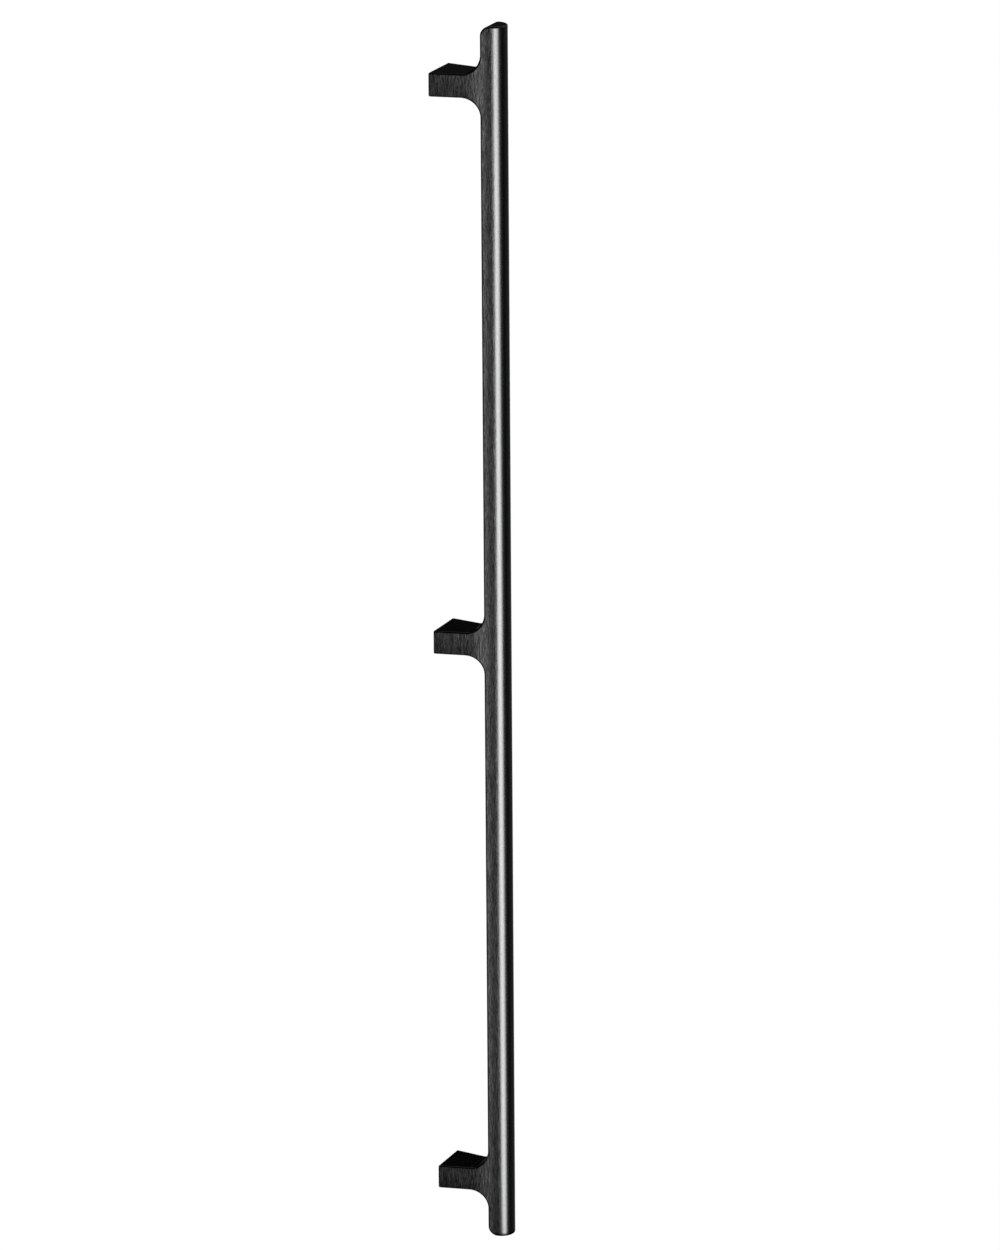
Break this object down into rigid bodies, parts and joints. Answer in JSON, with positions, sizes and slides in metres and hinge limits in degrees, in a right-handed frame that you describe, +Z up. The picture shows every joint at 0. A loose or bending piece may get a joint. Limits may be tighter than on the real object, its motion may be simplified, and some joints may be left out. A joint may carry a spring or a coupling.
{
  "type": "long door pull handle",
  "caption": "Tall straight door pull with a round-nosed bar on tapering arms, which flare to flat feet with threaded inserts for fixing through the door.",
  "frame": {"origin": "centre of the middle arm's foot, on the surface of the door", "axes": "+Z up along the bar, +Y into the door, so the handle stands out towards -Y; X across the door"},
  "size_m": [0.0474, 0.07, 1.2],
  "materials": {
    "black_brushed_casting": "black, lengthwise brushed",
    "insert_steel": "plated, turned"
  },
  "bodies": {
    "root": {"handle_body": "black_brushed_casting", "thread_insert_1": "insert_steel", "thread_insert_2": "insert_steel", "thread_insert_3": "insert_steel"}
  },
  "joints": []
}
